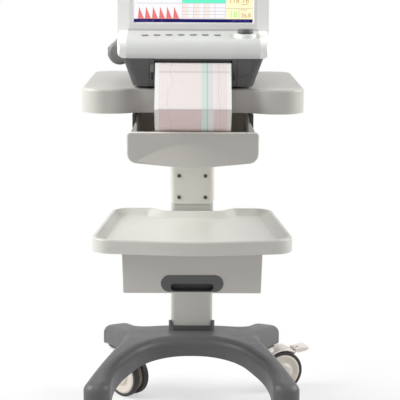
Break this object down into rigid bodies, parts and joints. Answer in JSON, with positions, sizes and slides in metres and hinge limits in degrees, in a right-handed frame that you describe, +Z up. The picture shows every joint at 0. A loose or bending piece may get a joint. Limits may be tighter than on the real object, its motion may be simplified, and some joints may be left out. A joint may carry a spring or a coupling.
{
  "type": "fetal monitor on a trolley",
  "caption": "Fetal monitor with a tilting screen and a paper recorder, on a wheeled trolley with a paper bin, a tray and a storage drawer.",
  "frame": {"origin": "on the floor, midway between the left and right casters and close to midway front to rear", "axes": "+Z up, -Y to the front where the screen and the paper face, +X to the right seen from the front"},
  "size_m": [0.5136, 0.5247, 1.1185],
  "materials": {
    "trolley_grey": "fine moulded texture, light warm grey",
    "column_grey": "satin powder coat, light warm grey",
    "base_grey": "moulded, dark grey",
    "housing_white": "moulded, off-white",
    "housing_dark": "moulded, charcoal grey",
    "bezel_grey": "moulded, pale grey",
    "screen_glass": "flat panel behind clear glass",
    "key_dark": "soft-touch, dark grey",
    "paper": "uncoated chart paper with a pale grid",
    "wheel_beige": "moulded, beige white",
    "tyre_black": "dark rubber tread",
    "pod_grey": "moulded, mid grey",
    "steel": "plain steel",
    "rail_black": "black coat",
    "roller_rubber": "ground rubber roller",
    "foot_rubber": "soft rubber",
    "board_green": "circuit board"
  },
  "bodies": {
    "trolley": {"base_moulding": "base_grey", "column_collar": "base_grey", "column": "column_grey", "column_bolts": "steel", "caster_kingpins": "steel", "upper_shelf": "trolley_grey", "shelf_plate": "column_grey", "shelf_bracket": "column_grey", "bracket_screws": "steel", "bin_rails": "rail_black", "lower_tray": "trolley_grey", "drawer_case": "column_grey", "drawer_rails": "rail_black", "lower_housing": "housing_dark", "upper_housing": "housing_white", "monitor_feet": "foot_rubber", "hinge_pins": "steel", "key_board": "board_green", "print_head": "steel", "chart_strip": "paper", "socket_pod": "pod_grey", "signal_sockets": "key_dark", "main_board": "board_green", "power_module": "steel", "mains_inlet": "key_dark"},
    "display": {"display_bezel": "bezel_grey", "display_back": "housing_white", "screen_panel": "screen_glass"},
    "knob_push": {"knob_spindle": "steel"},
    "knob_turn": {"knob": "key_dark"},
    "recorder": {"recorder_drawer": "housing_dark", "chart_pack": "paper"},
    "platen": {"platen_roller": "roller_rubber"},
    "release": {"release_button": "bezel_grey"},
    "bin": {"paper_bin": "trolley_grey", "printed_stack": "paper"},
    "drawer": {"storage_drawer": "trolley_grey", "drawer_front": "trolley_grey", "drawer_handle": "base_grey"},
    "key_1_body": {"key_1": "key_dark"},
    "key_2_body": {"key_2": "key_dark"},
    "key_3_body": {"key_3": "key_dark"},
    "key_4_body": {"key_4": "key_dark"},
    "key_5_body": {"key_5": "key_dark"},
    "key_6_body": {"key_6": "key_dark"},
    "key_7_body": {"key_7": "key_dark"},
    "swivel_front_left": {"caster_fork_front_left": "wheel_beige"},
    "wheels_front_left": {"caster_hub_front_left": "wheel_beige", "caster_tyre_front_left": "tyre_black"},
    "swivel_front_right": {"caster_fork_front_right": "wheel_beige"},
    "wheels_front_right": {"caster_hub_front_right": "wheel_beige", "caster_tyre_front_right": "tyre_black"},
    "swivel_rear_left": {"caster_fork_rear_left": "wheel_beige"},
    "wheels_rear_left": {"caster_hub_rear_left": "wheel_beige", "caster_tyre_rear_left": "tyre_black"},
    "pedal_rear_left": {"brake_pedal_rear_left": "wheel_beige"},
    "swivel_rear_right": {"caster_fork_rear_right": "wheel_beige"},
    "wheels_rear_right": {"caster_hub_rear_right": "wheel_beige", "caster_tyre_rear_right": "tyre_black"},
    "pedal_rear_right": {"brake_pedal_rear_right": "wheel_beige"}
  },
  "joints": [
    {"name": "display_tilt", "type": "hinge", "parent": "trolley", "child": "display", "pos_m": [0, -0.095, 0.8805], "axis": [1, 0, 0], "range_deg": [-85, 5]},
    {"name": "knob_press", "type": "slide", "parent": "trolley", "child": "knob_push", "axis": [0, 0, -1], "range_m": [0, 0.001], "stiffness_N_per_m": 400, "springref_m": -0.0008},
    {"name": "knob_spin", "type": "hinge", "parent": "knob_push", "child": "knob_turn", "pos_m": [0.104, -0.16, 0.8845], "axis": [0, 0, 1], "continuous": true},
    {"name": "recorder_slide", "type": "slide", "parent": "trolley", "child": "recorder", "axis": [0, -1, 0], "range_m": [0, 0.11], "deforming": ["chart_strip"]},
    {"name": "platen_spin", "type": "hinge", "parent": "recorder", "child": "platen", "pos_m": [0, -0.185, 0.8217], "axis": [1, 0, 0], "continuous": true},
    {"name": "release_press", "type": "slide", "parent": "recorder", "child": "release", "axis": [0, 1, 0], "range_m": [0, 0.0015], "stiffness_N_per_m": 400, "springref_m": -0.0008},
    {"name": "bin_slide", "type": "slide", "parent": "trolley", "child": "bin", "axis": [0, -1, 0], "range_m": [0, 0.12], "deforming": ["chart_strip"]},
    {"name": "drawer_slide", "type": "slide", "parent": "trolley", "child": "drawer", "axis": [0, -1, 0], "range_m": [0, 0.2]},
    {"name": "key_1_press", "type": "slide", "parent": "trolley", "child": "key_1_body", "axis": [0, 0.2007, -0.9797], "range_m": [0, 0.0008], "stiffness_N_per_m": 400, "springref_m": -0.0008},
    {"name": "key_2_press", "type": "slide", "parent": "trolley", "child": "key_2_body", "axis": [0, 0.2007, -0.9797], "range_m": [0, 0.0008], "stiffness_N_per_m": 400, "springref_m": -0.0008},
    {"name": "key_3_press", "type": "slide", "parent": "trolley", "child": "key_3_body", "axis": [0, 0.2007, -0.9797], "range_m": [0, 0.0008], "stiffness_N_per_m": 400, "springref_m": -0.0008},
    {"name": "key_4_press", "type": "slide", "parent": "trolley", "child": "key_4_body", "axis": [0, 0.2007, -0.9797], "range_m": [0, 0.0008], "stiffness_N_per_m": 400, "springref_m": -0.0008},
    {"name": "key_5_press", "type": "slide", "parent": "trolley", "child": "key_5_body", "axis": [0, 0.2007, -0.9797], "range_m": [0, 0.0008], "stiffness_N_per_m": 400, "springref_m": -0.0008},
    {"name": "key_6_press", "type": "slide", "parent": "trolley", "child": "key_6_body", "axis": [0, 0.2007, -0.9797], "range_m": [0, 0.0008], "stiffness_N_per_m": 400, "springref_m": -0.0008},
    {"name": "key_7_press", "type": "slide", "parent": "trolley", "child": "key_7_body", "axis": [0, 0.2007, -0.9797], "range_m": [0, 0.0008], "stiffness_N_per_m": 400, "springref_m": -0.0008},
    {"name": "swivel_front_left", "type": "hinge", "parent": "trolley", "child": "swivel_front_left", "pos_m": [-0.2, -0.208, 0.115], "axis": [0, 0, 1], "continuous": true},
    {"name": "roll_front_left", "type": "hinge", "parent": "swivel_front_left", "child": "wheels_front_left", "pos_m": [-0.16528, -0.19254, 0.05], "axis": [-0.4067, 0.9135, 0], "continuous": true},
    {"name": "swivel_front_right", "type": "hinge", "parent": "trolley", "child": "swivel_front_right", "pos_m": [0.2, -0.208, 0.115], "axis": [0, 0, 1], "continuous": true},
    {"name": "roll_front_right", "type": "hinge", "parent": "swivel_front_right", "child": "wheels_front_right", "pos_m": [0.23614, -0.21974, 0.05], "axis": [0.309, 0.9511, 0], "continuous": true},
    {"name": "swivel_rear_left", "type": "hinge", "parent": "trolley", "child": "swivel_rear_left", "pos_m": [-0.18, 0.205, 0.115], "axis": [0, 0, 1], "continuous": true},
    {"name": "roll_rear_left", "type": "hinge", "parent": "swivel_rear_left", "child": "wheels_rear_left", "pos_m": [-0.15266, 0.1786, 0.05], "axis": [0.6947, 0.7193, 0], "continuous": true},
    {"name": "pedal_rear_left", "type": "hinge", "parent": "swivel_rear_left", "child": "pedal_rear_left", "pos_m": [-0.12565, 0.15252, 0.09807], "axis": [0.6947, 0.7193, 0], "range_deg": [0, 18]},
    {"name": "swivel_rear_right", "type": "hinge", "parent": "trolley", "child": "swivel_rear_right", "pos_m": [0.18, 0.205, 0.115], "axis": [0, 0, 1], "continuous": true},
    {"name": "roll_rear_right", "type": "hinge", "parent": "swivel_rear_right", "child": "wheels_rear_right", "pos_m": [0.21571, 0.218, 0.05], "axis": [-0.342, 0.9397, 0], "continuous": true},
    {"name": "pedal_rear_right", "type": "hinge", "parent": "swivel_rear_right", "child": "pedal_rear_right", "pos_m": [0.251, 0.23084, 0.09807], "axis": [-0.342, 0.9397, 0], "range_deg": [0, 18]}
  ]
}
